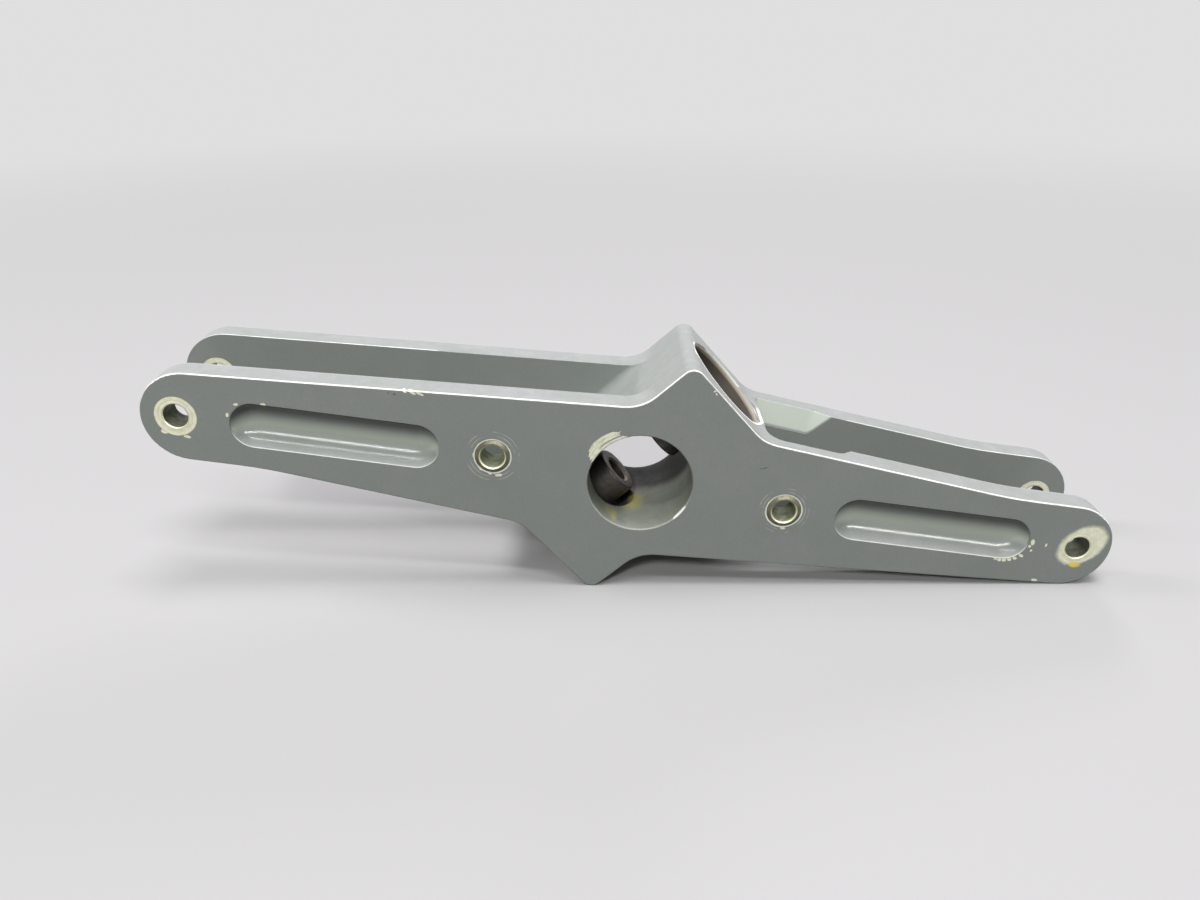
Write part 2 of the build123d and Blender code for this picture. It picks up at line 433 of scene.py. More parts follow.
    def turned(self) -> None:
        """Gives turning marks about z: fine rings in shade and height, with an uneven hand."""
        graph, given, result = self.open(
            Effect.TURNED, {"Place": "Vector", "Pitch": "Float"}, {"Shade": "Float", "Height": "Float"}
        )
        radius = graph.from_axis(given["Place"], ACROSS_Z)
        along = graph.parts(given["Place"])[2]
        run = graph.joined(graph.math("ADD", radius, graph.times(along, 1.37)), 0.0, 0.0)
        marks = graph.noise(run, given["Pitch"], 3.0, 0.75)
        smear = graph.noise(given["Place"], 0.5, 3.0, 0.6)
        shade = graph.scaled(marks, 0.6, graph.times(smear, 0.4))
        graph.feed(result["Shade"], graph.fade(shade, 0.32, 0.68))
        graph.feed(result["Height"], marks)

    def grime(self) -> None:
        """Masks grime that has settled unevenly."""
        graph, given, result = self.open(Effect.GRIME, {"Place": "Vector", "Amount": "Float"}, {"Mask": "Float"})
        soft = graph.noise(given["Place"], 0.16, 4.0, 0.6)
        fine = graph.noise(given["Place"], 0.9, 3.0, 0.7)
        both = graph.scaled(fine, 0.4, graph.times(soft, 0.6))
        start = graph.math("SUBTRACT", 0.72, graph.times(given["Amount"], 0.4))
        graph.feed(result["Mask"], graph.fade(both, start, graph.math("ADD", start, 0.16)))


class Finish:
    """One material. It starts with the Principled shader and places in millimetres."""

    def __init__(
        self, name: str, bevel_mm: float, rotation: float = -SLOPE, centre: tuple[float, float, float] = (0, 0, 0)
    ) -> None:
        """Starts a material.

        Args:
            name: the material's name.
            bevel_mm: how far the sharp edges look rounded.
            rotation: the turn of its pattern about y, in radians.
            centre: what is taken to be the middle of the pattern, in millimetres, after the turn.
        """
        self.material = bpy.data.materials.new(name)
        self.material.use_nodes = True
        self.graph = Graph(self.material.node_tree)
        self.shader = self.material.node_tree.nodes["Principled BSDF"]
        source = self.graph.node("TexCoord").outputs["Object"]
        self.place = self.graph.node(
            "Mapping",
            Vector=source,
            Location=[-value for value in centre],
            Rotation=(0.0, rotation, 0.0),
            Scale=(1 / MM, 1 / MM, 1 / MM),
        ).outputs["Vector"]
        rounded = self.graph.node("Bevel", Radius=bevel_mm * MM)
        rounded.samples = 6
        self.rounded = rounded.outputs["Normal"]

    def edges(self) -> Any:
        """Returns the mask of the sharp edges, where the rounded normal turns from the true one."""
        flat = self.graph.node("NewGeometry").outputs["True Normal"]
        return self.graph.fade(self.graph.rest(self.graph.vector("DOT_PRODUCT", self.rounded, flat)), 0.02, 0.12)

    def finish(self, colour: Any, rough: Any, metal: Any, height: Any, depth_mm: float) -> None:
        """Joins the shader's main inputs.

        Args:
            colour: the base colour.
            rough: the roughness.
            metal: the metallic share.
            height: the height of the relief, from 0 to 1.
            depth_mm: how deep the relief is, in millimetres.
        """
        bump = self.graph.node("Bump", Height=height, Distance=depth_mm * MM, Strength=1.0, Normal=self.rounded)
        self.graph.fill(
            self.shader,
            {"Base Color": colour, "Roughness": rough, "Metallic": metal, "Normal": bump.outputs["Normal"]},
        )


class HubGraph(Graph):
    """The hub's shader tree: where a point lies, in millimetres, and masks of the hub's regions."""

    def __init__(self, tree: bpy.types.NodeTree, place: Any) -> None:
        """Works out the measures and the masks, each as a socket.

        Args:
            tree: the material's tree.
            place: places in the hub's plane.
        """
        super().__init__(tree)
        self.place = place
        self.ragged, self.worn = self.wobble(place, 0.9, 0.9), self.wobble(place, 0.35, 1.6)
        self.x, self.y, self.z = self.parts(place)
        self.far_x, self.far_y, self.radius = self.apart(self.x), self.apart(self.y), self.from_axis(place)
        cosine, sine = math.cos(TEETER_SLANT), math.sin(TEETER_SLANT)
        self.along = self.apart(self.vector("DOT_PRODUCT", place, (cosine, 0.0, sine)))
        aside = self.vector("DOT_PRODUCT", place, (-sine, 0.0, cosine))
        self.around = self.vector("LENGTH", self.joined(aside, self.y, 0.0))
        normals = self.node("NewGeometry").outputs
        _, facing_away, self.facing_up = self.parts(normals["True Normal"])
        self.outward = self.times(facing_away, self.math("SIGN", self.y))
        self.rise = self.parts(normals["Normal"])[2]
        self.bore = self.fade(self.radius, SHAFT_BORE + 0.5, SHAFT_BORE + 0.2)
        self.wall = self.fades(
            (self.around, BEARING_BORE + 0.6, BEARING_BORE + 0.2), (self.along, SHAFT_BORE + 0.5, SHAFT_BORE + 1.5)
        )
        off_line = self.apart(self.scaled(self.math("SIGN", self.x), ARM_OFFSET, self.z))
        self.by_pocket = self.fades(
            (off_line, POCKET_HALF + 0.9, POCKET_HALF + 0.3),
            (self.far_x, POCKET_FROM, POCKET_FROM + 2.0),
            (self.far_x, POCKET_TO, POCKET_TO - 1.0),
        )
        # Painted shadow: a near-black band on the shaft bore's wall, behind the line where the front rim's shadow
        # falls; the band is also made matt.
        depth = self.scaled(self.math("ADD", self.z, SHAFT_BORE - 0.5), 0.65, self.y)
        self.bore_shadow_band = self.times(self.bore, self.fade(depth, 3.0, 10.0))
        self.rubbed = self.fade(self.noise(place, 0.30, 3.0, 0.6), 0.30, 0.60, 0.6)
        # Painted highlight, with some wear: pale ridges along the upward-facing front edges of the outer faces, away
        # from the pockets and the shaft bore.
        rounded = self.fades(
            (self.far_y, OUTER_FACE - 0.52, OUTER_FACE - 0.42),
            (self.outward, 0.985, 0.94),
            (self.facing_up, 0.10, 0.40),
        )
        sheltered = self.greatest([self.by_pocket, self.fade(self.radius, SHAFT_BORE + 1.7, SHAFT_BORE + 1.3)])
        self.crest_highlight = self.times(rounded, self.rubbed, self.rest(self.times(sheltered, 0.8)))

    def on_face(self, face: float) -> Socket:
        """Returns the mask of one flat face, by its place along y."""
        return self.fade(self.apart(self.y, face), 0.7, 0.45)


@dataclass(frozen=True)
class Spot:
    """An oval on the hub, in its plane, in millimetres: a chip, a mark or a stain."""

    x: float
    z: float
    half_x: float
    half_z: float
    turn: float = 0.0
    y: float = -OUTER_FACE
    half_y: float = 1.5
    share: float = 1.0

    def mask(self, hub: HubGraph, place: Any, softness: float) -> Socket:
        """Masks the oval, in ragged places, with an edge whose half width is a share of its size."""
        centre, half = (self.x, self.y, self.z), (self.half_x, self.half_y, self.half_z)
        return hub.mask(Effect.CHIP, Place=place, Centre=centre, Half_Size=half, Turn=self.turn, Softness=softness)


@dataclass(frozen=True)
class Band:
    """A ring round a bolt hole, between two radii in millimetres, on one face of the plates."""

    hole: Hole
    outer: float
    inner: float = 3.0
    face: float = -OUTER_FACE
    least: float = 0.0
    most: float = 1.0

    def mask(self, hub: HubGraph) -> Socket:
        """Masks the ring.

        Args:
            hub: the hub's graph.

        Returns:
            The mask's socket.
        """
        middle = (self.hole.value[0], 0.0, self.hole.value[1])
        ring = hub.mask(Effect.RING, Place=hub.worn, Centre=middle, Inner=self.inner, Outer=self.outer)
        return hub.times(ring, hub.on_face(self.face))


@dataclass(frozen=True)
class Scrape:
    """The long scrape round the upper left of the shaft bore, drawn out along its rim."""

    middle: float = 2.40
    half_angle: float = 0.42
    start: float = 17.2
    width: float = 4.4
    seam: float = 18.75
    seam_share: float = 0.8

    def mask(self, hub: HubGraph) -> Socket:
        """Masks the scrape: a bow with streaks along it and one painted seam left in it.

        Args:
            hub: the hub's graph.

        Returns:
            The mask's socket.
        """
        angle = hub.math("ARCTAN2", hub.z, hub.x)
        streak = hub.noise(hub.joined(hub.times(angle, 2.2), hub.times(hub.radius, 1.35), 4.0), 1.0, 3.0, 0.7)
        uneven = hub.math("SUBTRACT", streak, 0.5)
        spread = hub.scaled(uneven, 0.9, hub.math("DIVIDE", hub.apart(angle, self.middle), self.half_angle))
        bow = hub.math("SUBTRACT", 1.0, hub.times(spread, spread, spread, spread), clamp=True)
        limit = hub.scaled(uneven, 1.2, hub.scaled(bow, self.width, self.start))
        inside = hub.fade(hub.math("SUBTRACT", limit, hub.radius), -0.05, 0.20)
        off_seam = hub.apart(hub.radius, hub.scaled(uneven, 0.8, self.seam))
        seam = hub.times(hub.fades((off_seam, 0.26, 0.10), (angle, 2.55, 2.42)), self.seam_share)
        kept = hub.fade(hub.apart(streak, 0.55), 0.004, 0.018, 0.35)
        return hub.times(inside, hub.rest(seam), kept, hub.on_face(-OUTER_FACE))


def spots(*rows: tuple[float, ...]) -> tuple[Spot, ...]:
    """Returns a spot for each row of its values."""
    return tuple(Spot(*row) for row in rows)


@dataclass(frozen=True)
class HubPaint:
    """Semi-gloss grey paint over a cream primer, chipped and scraped."""

    paint: Colour = tint(133, 139, 134)
    dulled: Colour = tint(139, 143, 141)
    primer_pale: Colour = tint(246, 246, 224)
    primer_deep: Colour = tint(226, 226, 196)
    bore_paint: Colour = tint(120, 125, 112)
    # Painted light on the pockets' floors, then painted shade under their roofs.
    pocket_painted_light: Colour = tint(178, 186, 174)
    pocket_shade: Colour = tint(70, 73, 71)
    # Painted light on the slanted reliefs beside the block.
    relief_painted_light: Colour = tint(186, 194, 184)
    # Near-white: the painted highlights on edges, real edge wear, the scuff and the witness rings.
    pale_wear_and_highlight: Colour = tint(246, 247, 242)
    # Lavender pale on upward faces: dust, and a painted sheen of the tops.
    dust: Colour = tint(208, 205, 214)
    tan_wall: Colour = tint(150, 138, 122)
    # Near-black brown: real marks and grime, and the painted shade deep in the bearing bores.
    soot_and_shade: Colour = tint(50, 46, 40)
    # Near-black: oily grime mottled through the shaft bore, and the painted shadow band on its back wall.
    grease_and_shadow: Colour = tint(28, 24, 21)
    # Painted shade in the bearing inlets.
    painted_inlet_shade: Colour = tint(30, 31, 26)
    stain: Colour = tint(168, 160, 74)
    rust_yellow: Colour = tint(232, 208, 84)
    bevel_mm: float = 0.34
    relief_mm: float = 0.12
    specular: float = 0.36
    chips: tuple[Spot, ...] = spots(
        (-133.0, 10.2, 0.8, 0.42, 0.2), (-124.3, 11.4, 0.9, 0.38, 0.1), (-135.8, 6.1, 0.5, 0.8, 0.1),
        (-79.6, 22.5, 1.0, 0.5, -0.6), (-77.2, 22.4, 1.5, 0.5, -0.5), (-74.6, 22.1, 1.4, 0.35, -0.3),
        (18.5, 36.1, 0.5, 0.3, 0.7), (19.2, 35.2, 0.3, 0.4, 0.7),
        (126.0, -11.5, 0.7, 0.4), (127.4, -11.7, 0.7, 0.6), (129.0, -11.6, 0.8, 0.6),
        (130.7, -11.1, 0.8, 0.6, -0.2), (132.4, -10.3, 0.8, 0.6, -0.3), (134.2, -9.0, 1.0, 0.5, -0.5),
        (137.0, -6.6, 0.45, 0.45), (136.5, -3.3, 0.7, 1.2, 0.2), (135.9, -5.0, 0.5, 0.6, 0.3),
        (141.4, -3.8, 0.4, 0.7), (142.0, -17.9, 1.1, 0.5),
        (-52.9, -1.9, 0.6, 0.45), (-49.8, -3.2, 0.6, 0.35), (-47.0, -3.3, 1.2, 0.55, 0.2),
        (-55.8, 3.0, 0.35, 0.9), (50.6, -9.9, 0.9, 0.5),
        (-155.9, -2.4, 1.4, 1.0, 0.3), (-148.9, -3.6, 1.2, 0.5, -0.1),
        (-88.5, 4.6, 1.1, 0.5, -0.2, OUTER_FACE), (-128.0, -4.4, 0.7, 0.5, 0.3, OUTER_FACE),
        (-130.6, -3.6, 0.5, 0.8, 0.1, OUTER_FACE), (72.0, 1.2, 0.6, 0.8, 0.0, OUTER_FACE),
        (108.5, 15.3, 1.8, 0.5, -0.25, OUTER_FACE), (111.9, 14.8, 0.9, 0.4, -0.2, OUTER_FACE),
        (28.0, -27.4, 0.7, 1.1, 0.6, OUTER_FACE), (-13.8, -14.6, 2.2, 0.8, -0.75, OUTER_FACE),
        (-45.4, -3.0, 0.8, 0.5, 0.2, OUTER_FACE),
    )
    patch: Spot = Spot(153.6, -2.1, 8.8, 6.6, 0.8)
    scrape: Scrape = Scrape()
    scuff: Spot = Spot(15.2, -9.2, 3.2, 3.2, half_y=1.2)
    scuff_radii: tuple[float, float] = (17.4, 17.85)
    stains: tuple[Spot, ...] = spots(
        (-2.0, -17.4, 3.4, 1.8, 0.0, -3.6, 5.0, 1.0), (1.2, -17.5, 3.0, 1.8, 0.0, -3.0, 5.0, 0.8),
        (-6.6, -16.2, 0.8, 1.2, 0.6, -17.6, 3.4, 0.8), (-8.6, -15.4, 0.6, 1.2, 0.6, -16.0, 2.2, 0.6),
    )
    rust: Spot = Spot(153.5, -9.9, 1.9, 1.0)
    marks: tuple[Spot, ...] = spots(
        (39.9, 11.6, 1.1, 0.16, 0.35, -OUTER_FACE, 1.0, 0.6), (38.6, 11.2, 0.4, 0.14, -0.2, -OUTER_FACE, 1.0, 0.6),
        (-82.6, 20.8, 0.5, 0.25, 0.0, -OUTER_FACE, 1.0, 0.6), (-84.6, 20.9, 0.3, 0.2, 0.4, -OUTER_FACE, 1.0, 0.6),
        (-22.0, 9.0, 1.4, 0.14, -0.5, OUTER_FACE, 1.0, 0.6), (96.0, 12.4, 0.8, 0.16, 0.2, OUTER_FACE, 1.0, 0.6),
    )
    scraped: tuple[Band, ...] = (
        Band(Hole.OUTER_LEFT, 6.85),
        Band(Hole.OUTER_LEFT, 6.2, face=-INNER_FACE),
        Band(Hole.OUTER_LEFT, 6.15, face=INNER_FACE),
        Band(Hole.OUTER_LEFT, 6.4, face=OUTER_FACE),
        Band(Hole.OUTER_RIGHT, 6.2, face=-INNER_FACE),
        Band(Hole.OUTER_RIGHT, 6.15, face=INNER_FACE),
        Band(Hole.OUTER_RIGHT, 6.9, face=OUTER_FACE),
        Band(Hole.INNER_LEFT, 6.30),
        Band(Hole.INNER_LEFT, 6.4, face=OUTER_FACE),
        Band(Hole.INNER_RIGHT, 6.34),
        Band(Hole.INNER_RIGHT, 6.45, face=OUTER_FACE),
    )
    witness: tuple[Band, ...] = (
        Band(Hole.INNER_RIGHT, 7.35, 7.2, most=0.5),
        Band(Hole.INNER_RIGHT, 8.55, 8.4, most=0.4),
        Band(Hole.INNER_LEFT, 7.55, 7.4, most=0.4),
        Band(Hole.INNER_LEFT, 8.85, 8.7, most=0.4),
        Band(Hole.INNER_RIGHT, 6.36, 6.0, least=0.7),
        Band(Hole.INNER_LEFT, 6.32, 6.0, least=0.7),
    )
    seams: tuple[Band, ...] = (
        Band(Hole.OUTER_LEFT, 5.62, 5.5, most=0.45),
        Band(Hole.OUTER_LEFT, 6.95, 6.75, most=0.5),
        Band(Hole.OUTER_RIGHT, 5.6, 5.5, most=0.25),
    )

    def bare(self, hub: HubGraph) -> Socket:
        """Masks every place where the paint is gone down to the primer.

        Args:
            hub: the hub's graph.

        Returns:
            The mask's socket.
        """
        chips = [chip.mask(hub, hub.worn, 0.12) for chip in self.chips]
        patch = self.patch.mask(hub, hub.wobble(hub.worn, 1.3, 0.4), 0.12)
        return hub.greatest([*chips, patch, *(band.mask(hub) for band in self.scraped), self.scrape.mask(hub)])

    def bore_layers(self, hub: HubGraph) -> list[Layer]:
        """Lists the tones of the shaft bore and of the two bearing bores, with a painted shadow on the shaft bore's
        back wall and painted shade deep in the bearing bores and their inlets.

        Args:
            hub: the hub's graph.

        Returns:
            The layers, lowest first.
        """
        mottle, grime = (hub.mask(Effect.GRIME, Place=hub.place, Amount=amount) for amount in (0.55, 0.25))
        # Painted shade: the bearing bores' walls turn dark from about two millimetres inside their mouths.
        deep = hub.fade(hub.along, BLOCK_END - 1.3, BLOCK_END - 2.1)
        # Painted shade: the bearing inlets, narrower than the bearing bores, are painted near-black.
        inlet = hub.fades(
            (hub.around, BEARING_INLET + 0.6, BEARING_INLET + 0.2),
            (hub.along, BEARING_SHOULDER + 0.5, BEARING_SHOULDER + 0.1),
        )
        return [
            (hub.bore, self.bore_paint),
            (hub.times(hub.bore, mottle, 0.30), self.grease_and_shadow),
            # painted shadow on the shaft bore's back wall
            (hub.times(hub.bore_shadow_band, 0.93), self.grease_and_shadow),
            (hub.times(hub.wall, 0.85), self.tan_wall),
            (hub.times(hub.wall, deep, 0.9), self.soot_and_shade),
            (hub.times(inlet, 0.95), self.painted_inlet_shade),
            (hub.times(grime, 0.10), self.soot_and_shade),
        ]

    def recess_layers(self, hub: HubGraph) -> list[Layer]:
        """Lists the painted light on the reliefs and on the pockets' floors, and the painted shade under the pockets'
        roofs.

        Args:
            hub: the hub's graph.

        Returns:
            The layers, lowest first.
        """
        # Painted light: the reliefs on the plates' inner faces are painted paler for the light their slant catches
        # from above.
        relief = hub.fades(
            (hub.far_y, INNER_FACE + 0.1, INNER_FACE + 0.35),
            (hub.far_y, OUTER_FACE - 3.5, OUTER_FACE - 4.5),
            (hub.far_x, 75.0, 73.0),
            (hub.outward, -0.15, -0.45),
        )
        pocket = hub.fades(
            (hub.far_y, OUTER_FACE - 0.35, OUTER_FACE - 0.6),
            (hub.outward, 0.1, 0.3),
            (hub.far_x, POCKET_FROM - 2.0, POCKET_FROM),
        )
        # Painted light: the pockets' floors are paler where they face forward and a little up.
        settled = hub.fades((hub.rise, -0.35, 0.12), (hub.rise, 0.15, 0.5, 1.0, 0.15))
        return [
            (hub.times(relief, hub.rest(hub.wall)), self.relief_painted_light),
            (hub.times(pocket, settled), self.pocket_painted_light),
            # painted shade where the pockets' roofs face down
            (hub.times(pocket, hub.fade(hub.rise, -0.15, -0.55, 0.0, 0.66)), self.pocket_shade),
        ]

    def highlight_and_wear_mask(self, hub: HubGraph, edge: Any) -> Socket:
        """Masks the painted highlights and the wear: the shaft bore's rim, paler towards the bottom, the upper front
        ridges, the arms' inner top lines, mostly on the back plate, the pockets' lower lips, the near side of the
        bearing bores' mouths, worn edges and the scuff.

        Args:
            hub: the hub's graph.
            edge: the mask of the sharp edges.

        Returns:
            The mask's socket.
        """
        # Painted highlights on the shaft bore's rim, paler towards the bottom, on the arms' inner top edges, on the
        # pockets' lower lips and on the near side of the bearing bores' mouths.
        rim = hub.fades((hub.radius, SHAFT_BORE + 1.3, SHAFT_BORE + 0.9), (hub.z, 6.0, -6.0, 0.10, 0.35))
        inner_line = hub.fades(
            (hub.far_y, INNER_FACE + 0.75, INNER_FACE + 0.5),
            (hub.facing_up, 0.3, 0.6),
            (hub.far_x, 74.0, 76.0),
            (hub.y, -5.0, 5.0, 0.15),
        )
        lip = hub.fades((hub.far_y, OUTER_FACE - 0.30, OUTER_FACE - 0.20), (hub.facing_up, 0.10, 0.60))
        mouth = hub.fades(
            (hub.around, BEARING_BORE + 1.8, BEARING_BORE + 1.6),
            (hub.along, BLOCK_END - 0.25, BLOCK_END - 0.15),
            (hub.y, 8.0, 2.0),
        )
        inner, outer = self.scuff_radii
        arc = hub.mask(Effect.RING, Place=hub.worn, Centre=(0, 0, 0), Inner=inner, Outer=outer)
        return hub.greatest(
            [
                hub.times(edge, hub.greatest([hub.times(hub.rubbed, 0.15), rim])),
                hub.times(hub.crest_highlight, 0.75),
                hub.times(inner_line, hub.rubbed, 0.7),
                hub.times(lip, hub.by_pocket, 0.6),
                mouth,
                hub.times(self.scuff.mask(hub, hub.worn, 0.2), arc),
            ]
        )

    def build(self) -> bpy.types.Material:
        """Builds the material.

        Returns:
            The hub's material.
        """
        look = Finish("hub_paint", self.bevel_mm)
        hub = HubGraph(look.graph.tree, look.place)
        film = hub.group(Effect.FILM, Place=hub.place, Color=self.paint, Dulled=self.dulled).outputs
        primer = hub.group(Effect.PRIMER, Place=hub.place, Pale=self.primer_pale, Deep=self.primer_deep).outputs
        bare, edge = self.bare(hub), look.edges()
        cloud = hub.noise(hub.place, 0.16, 3.0, 0.6)
        layers = [
            *self.bore_layers(hub),
            *self.recess_layers(hub),
            *((hub.times(mark.mask(hub, hub.worn, 0.3), mark.share), self.soot_and_shade) for mark in self.marks),
            *((hub.times(spot.mask(hub, hub.ragged, 0.85), spot.share), self.stain) for spot in self.stains),
            # dust and painted sheen on the upward faces
            (hub.fades((hub.facing_up, 0.55, 0.90), (film["Roughness"], 0.155, 0.23, 0.04, 0.14)), self.dust),
            # painted highlights, with edge wear and the scuff
            (self.highlight_and_wear_mask(hub, edge), self.pale_wear_and_highlight),
            (bare, primer["Color"]),
            *(
                (hub.times(band.mask(hub), hub.fade(cloud, 0.46, 0.60, band.least, band.most)), self.pale_wear_and_highlight)
                for band in self.witness
            ),
            (self.rust.mask(hub, hub.ragged, 0.45), self.rust_yellow),
            *((hub.times(band.mask(hub), band.most), self.stain) for band in self.seams),
        ]
        rims = hub.times(edge, hub.rest(hub.crest_highlight), 0.8)
        matt = hub.greatest([hub.times(hub.bore, 0.7), hub.times(hub.wall, 0.8), rims])
        rough = hub.shift(matt, film["Roughness"], hub.shift(hub.bore_shadow_band, 0.6, 0.95))
        rough = hub.shift(bare, rough, primer["Roughness"])
        height = hub.math("SUBTRACT", hub.times(film["Height"], 0.15), bare)
        look.finish(hub.over(film["Color"], layers), rough, 0.0, height, self.relief_mm)
        look.shader.inputs["Specular IOR Level"].default_value = self.specular
        return look.material


@dataclass(frozen=True)
class BushSteel:
    """Plated steel of one bolt's bushes: olive in the bore, dark on the nose, cream outside it."""

    cream_from: float
    bore_pale: Colour = tint(176, 182, 152)
    bore_dark: Colour = tint(104, 106, 84)
    nose_pale: Colour = tint(126, 124, 100)
    nose_dark: Colour = tint(64, 61, 46)
    lip: Colour = tint(222, 222, 190)
    pale: Colour = tint(248, 248, 236)
    deep: Colour = tint(234, 235, 216)
    lip_width: float = 0.5
    bevel_mm: float = 0.2
    relief_mm: float = 0.02
    pitch: float = 3.4

    def build(self, name: str, hole: Hole) -> bpy.types.Material:
        """Builds the material.

        Args:
            name: the material's name.
            hole: the bolt hole that the bushes sit in.

        Returns:
            The material.
        """
        along, across = hole.value
        look = Finish(name, self.bevel_mm, centre=(along, 0.0, across))
        graph = look.graph
        x, y, z = graph.parts(look.place)
        turned = graph.group(Effect.TURNED, Place=graph.joined(x, z, y), Pitch=self.pitch).outputs
        primer = graph.group(Effect.PRIMER, Place=look.place, Pale=self.pale, Deep=self.deep).outputs
        shade = turned["Shade"]
        radius = graph.from_axis(graph.wobble(look.place, 0.2, 1.4))
        high = graph.apart(y)
        ends = graph.greatest(
            [
                graph.fade(high, OUTER_FACE - 0.8, OUTER_FACE - 0.5),
                graph.fade(high, INNER_FACE + 0.25, INNER_FACE + 0.05),
            ]
        )
        cover = graph.times(ends, graph.fade(radius, self.cream_from - 0.08, self.cream_from + 0.08))
        hollow = graph.fade(radius, BOLT_BORE + 0.16, BOLT_BORE + 0.06)
        lip_end = BOLT_BORE + self.lip_width
        colour = graph.over(
            graph.mix(shade, self.nose_dark, self.nose_pale),
            [
                (graph.fade(radius, lip_end + 0.1, lip_end - 0.1), self.lip),
                (hollow, graph.mix(shade, self.bore_dark, self.bore_pale)),
                (cover, primer["Color"]),
            ],
        )
        rough = graph.shift(cover, graph.fade(shade, 0.0, 1.0, low=0.50, high=0.36), primer["Roughness"])
        bright = graph.math("SUBTRACT", 0.40, graph.times(hollow, 0.15))
        look.finish(colour, rough, graph.times(bright, graph.rest(cover)), turned["Height"], self.relief_mm)
        return look.material


@dataclass(frozen=True)
class BearingMetal:
    """Turned metal of the bearing's sleeves and shells, with grime in its marks."""

    pale: Colour
    dark: Colour
    metallic: float
    ring_radius: float = 0.0
    ring_tone: Colour = tint(176, 160, 152)
    smooth: float = 0.35
    dull: float = 0.55
    bevel_mm: float = 0.25
    relief_mm: float = 0.025
    pitch: float = 2.6

    def build(self, name: str) -> bpy.types.Material:
        """Builds the material.

        Args:
            name: the material's name.

        Returns:
            The material.
        """
        look = Finish(name, self.bevel_mm, TEETER_RISE - QUARTER_TURN)
        graph = look.graph
        turned = graph.group(Effect.TURNED, Place=look.place, Pitch=self.pitch).outputs
        grime = graph.mask(Effect.GRIME, Place=look.place, Amount=0.6)
        radius = graph.from_axis(look.place, ACROSS_Z)
        ring = graph.fades(
            (radius, self.ring_radius + 0.1, self.ring_radius - 0.1), (radius, SLEEVE_BORE + 0.05, SLEEVE_BORE + 0.15)
        )
        colour = graph.over(
            graph.mix(turned["Shade"], self.dark, self.pale),
            [(graph.times(grime, 0.6), self.dark), (graph.times(ring, 0.8), self.ring_tone)],
        )
        rough = graph.shift(turned["Shade"], self.dull, self.smooth)
        metal = graph.fade(grime, 0.0, 1.0, self.metallic, self.metallic * 0.6)
        look.finish(colour, rough, metal, turned["Height"], self.relief_mm)
        return look.material


@dataclass(frozen=True)
class Rubber:
    """Matt black rubber of the bearing rings, dusty in patches."""

    black: Colour = tint(34, 33, 32)
    dusty: Colour = tint(88, 84, 76)
    bevel_mm: float = 0.2
    relief_mm: float = 0.05
    pitch: float = 1.2

    def build(self, name: str) -> bpy.types.Material:
        """Builds the material.

        Args:
            name: the material's name.

        Returns:
            The rubber.
        """
        look = Finish(name, self.bevel_mm, TEETER_RISE - QUARTER_TURN)
        graph = look.graph
        grain = graph.noise(look.place, 3.0, 4.0, 0.7)
        turned = graph.group(Effect.TURNED, Place=look.place, Pitch=self.pitch)
        dust = graph.times(
            graph.mask(Effect.GRIME, Place=look.place, Amount=0.5), graph.fade(grain, 0.3, 0.7, low=0.35, high=0.8)
        )
        rough = graph.fade(dust, 0.0, 1.0, low=0.55, high=0.85)
        height = graph.scaled(turned.outputs["Height"], 0.5, grain)
        look.finish(graph.mix(dust, self.black, self.dusty), rough, 0.0, height, self.relief_mm)
        return look.material


def dress(node: str, material: bpy.types.Material) -> None:
    """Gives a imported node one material.

    Args:
        node: the node's name.
        material: what it is made of.
    """
    slots = frame["nodes"][node].data.materials
    slots.clear()
    slots.append(material)
    LOG.info("%s: %s", node, material.name)


@dataclass
class HubBody:
    """The machined body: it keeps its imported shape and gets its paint."""

    node: str = "hub_body"
    finish: HubPaint = field(default_factory=HubPaint)

    def build(self) -> None:
        """Paints the body."""
        dress(self.node, self.finish.build())


@dataclass
class BoltBushes:
    """The eight bushes of the four blade bolts: duller and creamier ones in the outer holes."""

    inner: BushSteel = BushSteel(5.88)
    outer: BushSteel = BushSteel(
        4.5, tint(124, 126, 106), tint(66, 66, 54), pale=tint(242, 242, 216), deep=tint(220, 221, 188)
    )

    def build(self) -> None:
        """Dresses each hole's front and back bush."""
        for hole in Hole:
            row, side = hole.name.lower().split("_")
            finish = self.outer if row == "outer" else self.inner
            material = finish.build(f"{row}_bush_{side}", hole)
            for face in ("front", "back"):
                dress(f"{row}_bush_{face}_{side}", material)


